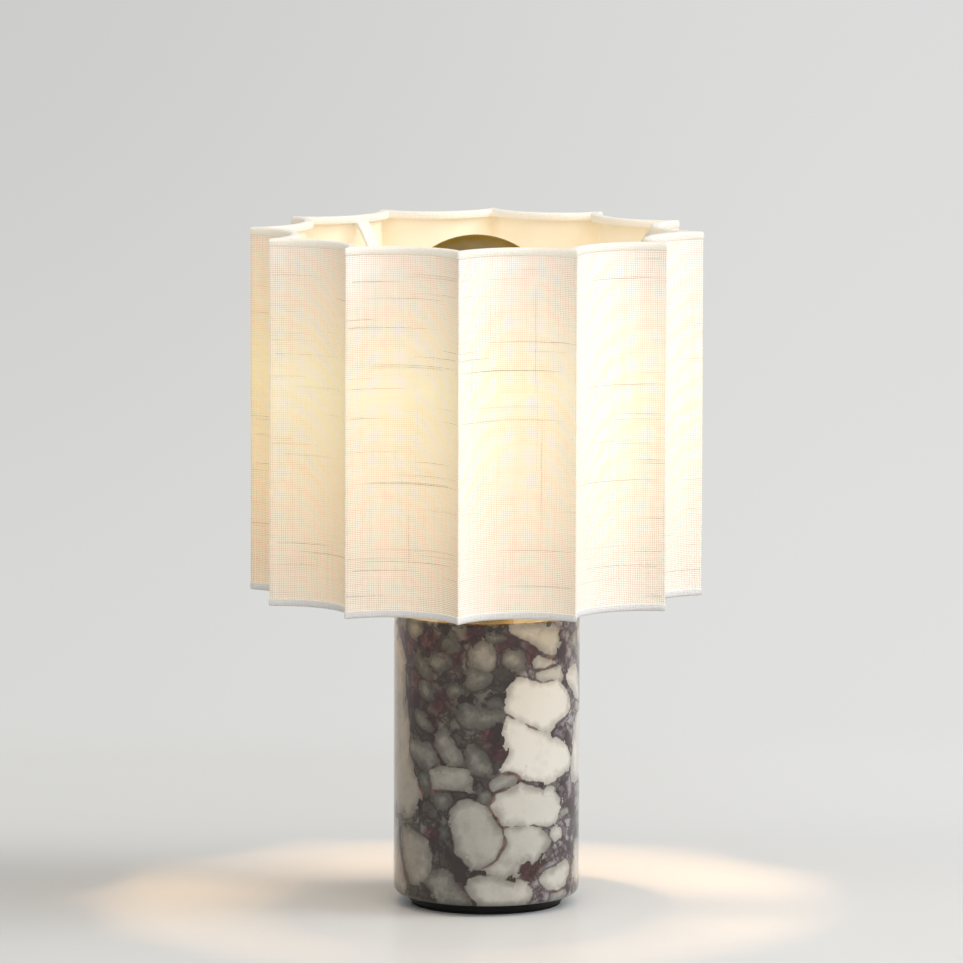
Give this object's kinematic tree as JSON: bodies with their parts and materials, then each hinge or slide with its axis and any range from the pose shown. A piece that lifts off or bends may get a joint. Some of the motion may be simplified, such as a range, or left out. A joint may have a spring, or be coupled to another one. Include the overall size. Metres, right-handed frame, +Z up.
{
  "type": "table lamp",
  "caption": "Table lamp with a scalloped linen drum shade on a three-arm spider, a crown-mirrored globe bulb and a cylindrical marble base.",
  "frame": {"origin": "on the stem's and shade's axis, at the plane the lamp stands on", "axes": "+Z up; the picture looks along +Y with +X to its right; the cable outlet faces +Y"},
  "size_m": [0.26, 0.26, 0.3898],
  "materials": {
    "pad": "matt black rubber",
    "black_steel": "satin black paint",
    "zinc_steel": "zinc plated",
    "nylon": "moulded",
    "marble": "polished brecciated marble, opaque",
    "brass": "polished",
    "phenolic": "moulded black",
    "ceramic": "glazed",
    "white_steel": "off-white powder coat",
    "liner": "matt translucent backing",
    "linen": "slubbed plain weave",
    "hem_tape": "plain weave tape",
    "black_glass": "black glass bead",
    "nickel": "nickel plated",
    "clear_glass": "clear",
    "gold_mirror": "gold mirrored glass",
    "phosphor": "yellow phosphor coating"
  },
  "bodies": {
    "base": {"foot_pad": "pad", "base_plate": "black_steel", "plate_screws": "zinc_steel", "screw_plugs": "nylon", "marble_body": "marble", "cable_grommet": "pad", "lower_nut": "zinc_steel", "lower_washer": "zinc_steel", "threaded_pipe": "zinc_steel", "cup_gasket": "pad", "socket_cup": "brass", "cup_washer": "zinc_steel", "cup_nut": "zinc_steel", "socket_cap": "phenolic", "socket_insert": "ceramic", "terminal_screws": "brass", "centre_contact": "brass", "screw_shell": "brass", "socket_body": "phenolic"},
    "shade": {"spider_ring": "white_steel", "spider_arms": "white_steel", "top_wire": "zinc_steel", "bottom_wire": "zinc_steel", "shade_liner": "liner", "shade_fabric": "linen", "top_hem": "hem_tape", "bottom_hem": "hem_tape"},
    "clamp": {"lock_ring": "brass"},
    "bulb": {"bulb_contact": "zinc_steel", "bulb_insulator": "black_glass", "bulb_cap": "nickel", "bulb_glass": "clear_glass", "bulb_crown": "gold_mirror", "bulb_stem": "clear_glass", "filament_posts": "nickel", "bulb_filaments": "phosphor"}
  },
  "joints": [
    {"name": "shade_turn", "type": "hinge", "parent": "base", "child": "shade", "pos_m": [0, 0, 0.2617], "axis": [0, 0, 1], "continuous": true},
    {"name": "clamp_turn", "type": "hinge", "parent": "base", "child": "clamp", "pos_m": [0, 0, 0.2674], "axis": [0, 0, 1], "range_deg": [0, 1530]},
    {"name": "bulb_turn", "type": "hinge", "parent": "base", "child": "bulb", "pos_m": [0, 0, 0.2485], "axis": [0, 0, 1], "range_deg": [0, 1890]}
  ]
}
